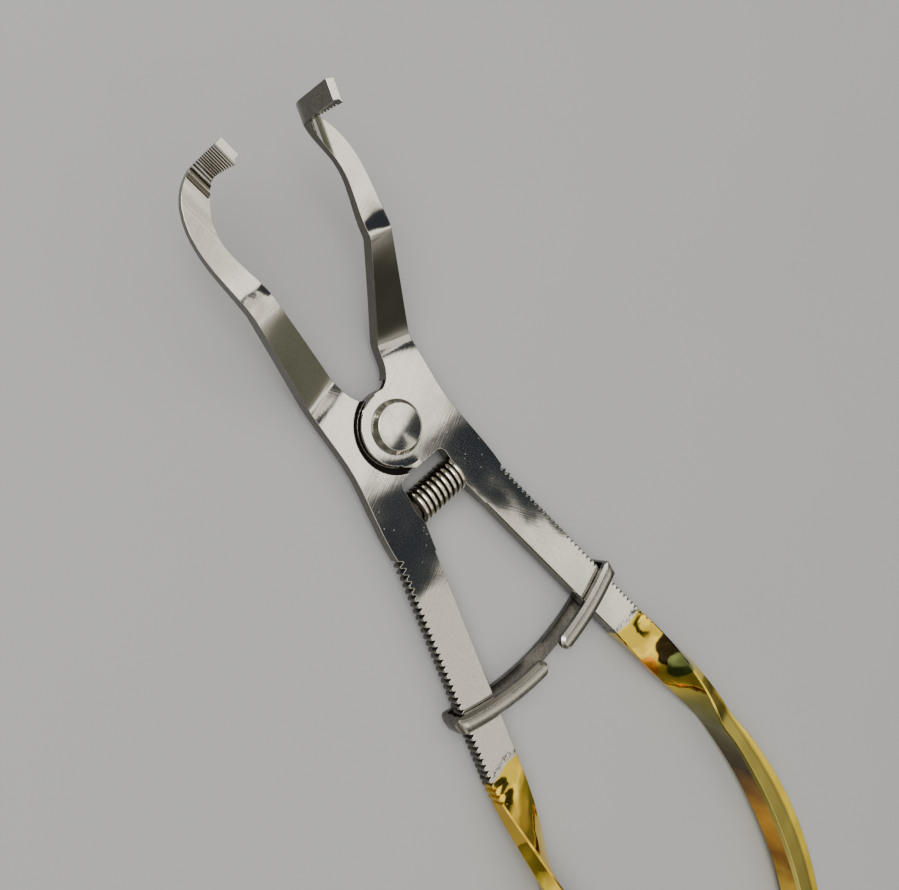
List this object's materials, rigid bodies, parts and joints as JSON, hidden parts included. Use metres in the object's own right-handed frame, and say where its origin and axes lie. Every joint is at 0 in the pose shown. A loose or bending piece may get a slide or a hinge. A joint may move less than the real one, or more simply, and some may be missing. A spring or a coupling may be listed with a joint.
{
  "type": "sectional matrix pliers",
  "caption": "Non-crossing spring pliers with joggled upturned grooved jaws, toothed twisted handles and a sliding C-shaped locking ring.",
  "frame": {"origin": "pivot axis, in the plane of the rivet's back head that the pliers lie on", "axes": "+X towards the jaw tips, +Y towards the left arm, +Z along the pivot axis, up out of the plane the pliers lie on"},
  "size_m": [0.1763, 0.0528, 0.022],
  "materials": {
    "polished_steel": "polished stainless steel, gold-plated grips",
    "rivet_steel": "turned and polished",
    "spring_steel": "drawn wire",
    "ring_steel": "polished"
  },
  "bodies": {
    "left_arm": {"arm_left": "polished_steel", "pivot_rivet": "rivet_steel", "spring_peg_left": "rivet_steel", "coil_spring": "spring_steel"},
    "right_arm": {"arm_right": "polished_steel", "spring_peg_right": "rivet_steel"},
    "ring": {"slide_ring": "ring_steel"}
  },
  "joints": [
    {"name": "pivot", "type": "hinge", "parent": "left_arm", "child": "right_arm", "pos_m": [0, 0, 0.0028], "axis": [0, 0, -1], "range_deg": [0, 8], "stiffness_Nm_per_rad": 0.9, "springref_deg": -8.02, "deforming": ["coil_spring"]},
    {"name": "ring_slide", "type": "slide", "parent": "left_arm", "child": "ring", "axis": [1, 0, 0], "range_m": [0, 0.02]}
  ]
}
